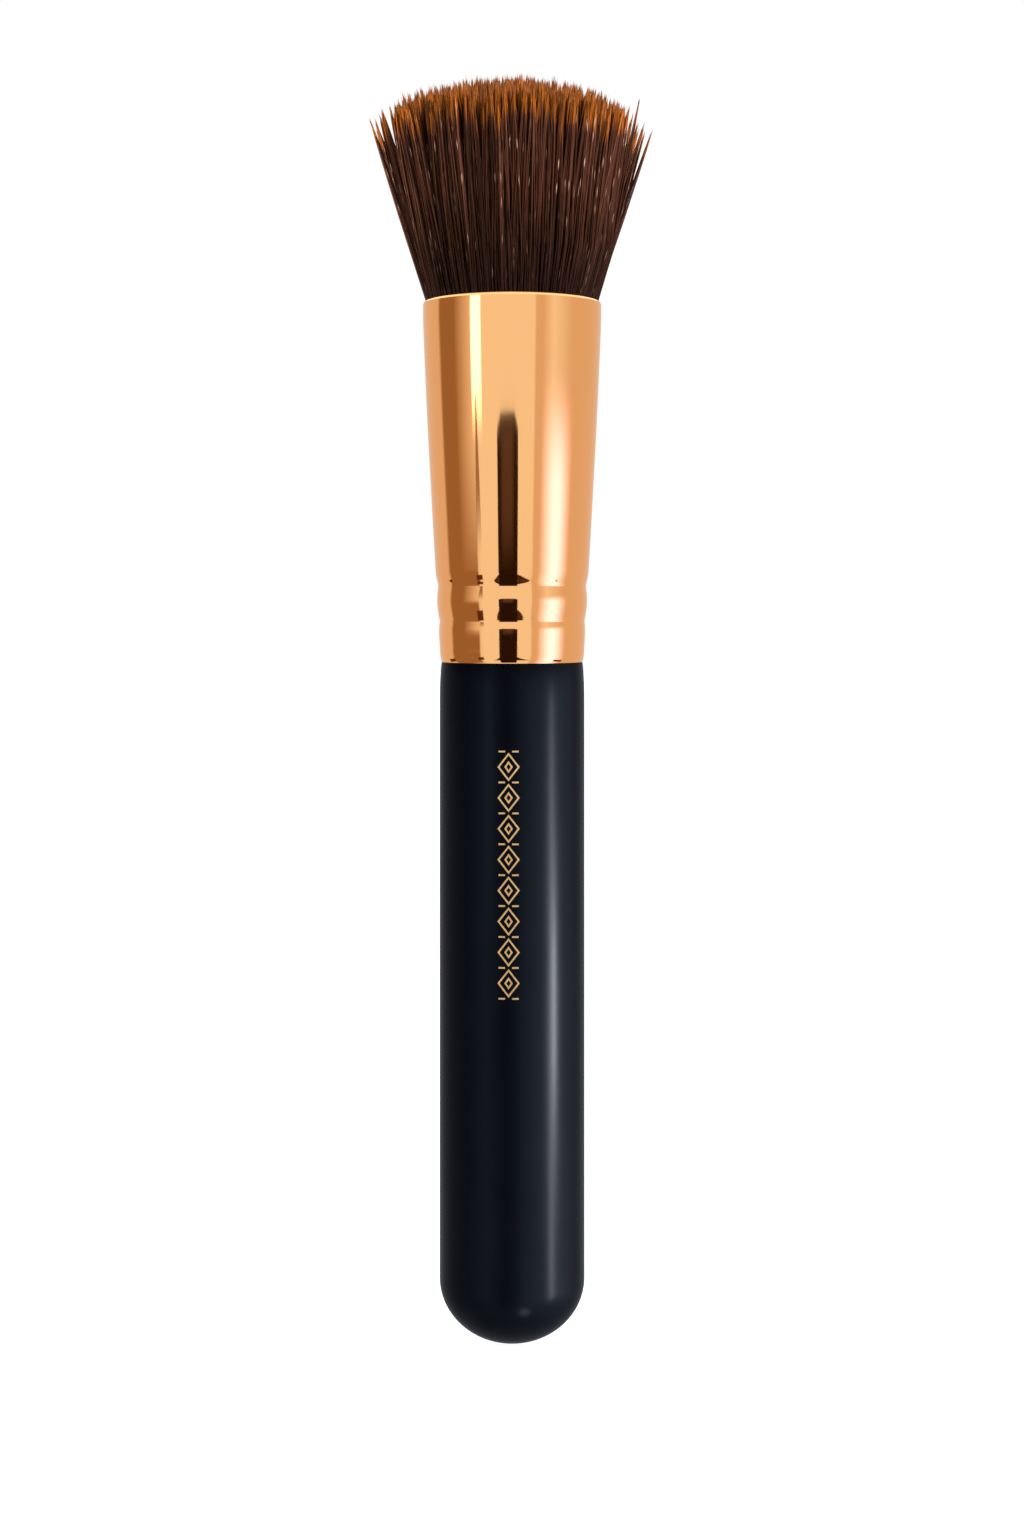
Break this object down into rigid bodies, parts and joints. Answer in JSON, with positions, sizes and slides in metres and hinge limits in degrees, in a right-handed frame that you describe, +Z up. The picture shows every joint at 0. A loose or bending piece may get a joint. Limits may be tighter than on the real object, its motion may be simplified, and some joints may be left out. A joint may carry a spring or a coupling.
{
  "type": "kabuki makeup brush",
  "caption": "Upright kabuki makeup brush: round-ended lacquered handle, tapered metal ferrule with rolled grooves and a dense flared flat-topped head of dark hair with amber tips.",
  "frame": {"origin": "lowest point of the handle's rounded end, on the brush's axis", "axes": "+Z up the brush's axis, from the handle's rounded end to the tips of the hair; X and Y are alike"},
  "size_m": [0.0366, 0.0369, 0.1671],
  "materials": {
    "lacquered_wood": "satin black lacquer",
    "rose_gold": "polished rose-gold anodising",
    "adhesive": "cured epoxy adhesive",
    "resin": "clear amber casting resin",
    "thread": "waxed thread",
    "hair": "soft dark brown hair with amber tips"
  },
  "bodies": {
    "root": {"handle": "lacquered_wood", "ferrule": "rose_gold", "tenon_glue": "adhesive", "resin_plug": "resin", "root_tie": "thread", "hair_centre": "hair", "hair_ring_1": "hair", "hair_ring_2": "hair", "hair_ring_3": "hair", "hair_ring_4": "hair", "hair_ring_5": "hair", "hair_ring_6": "hair"}
  },
  "joints": []
}
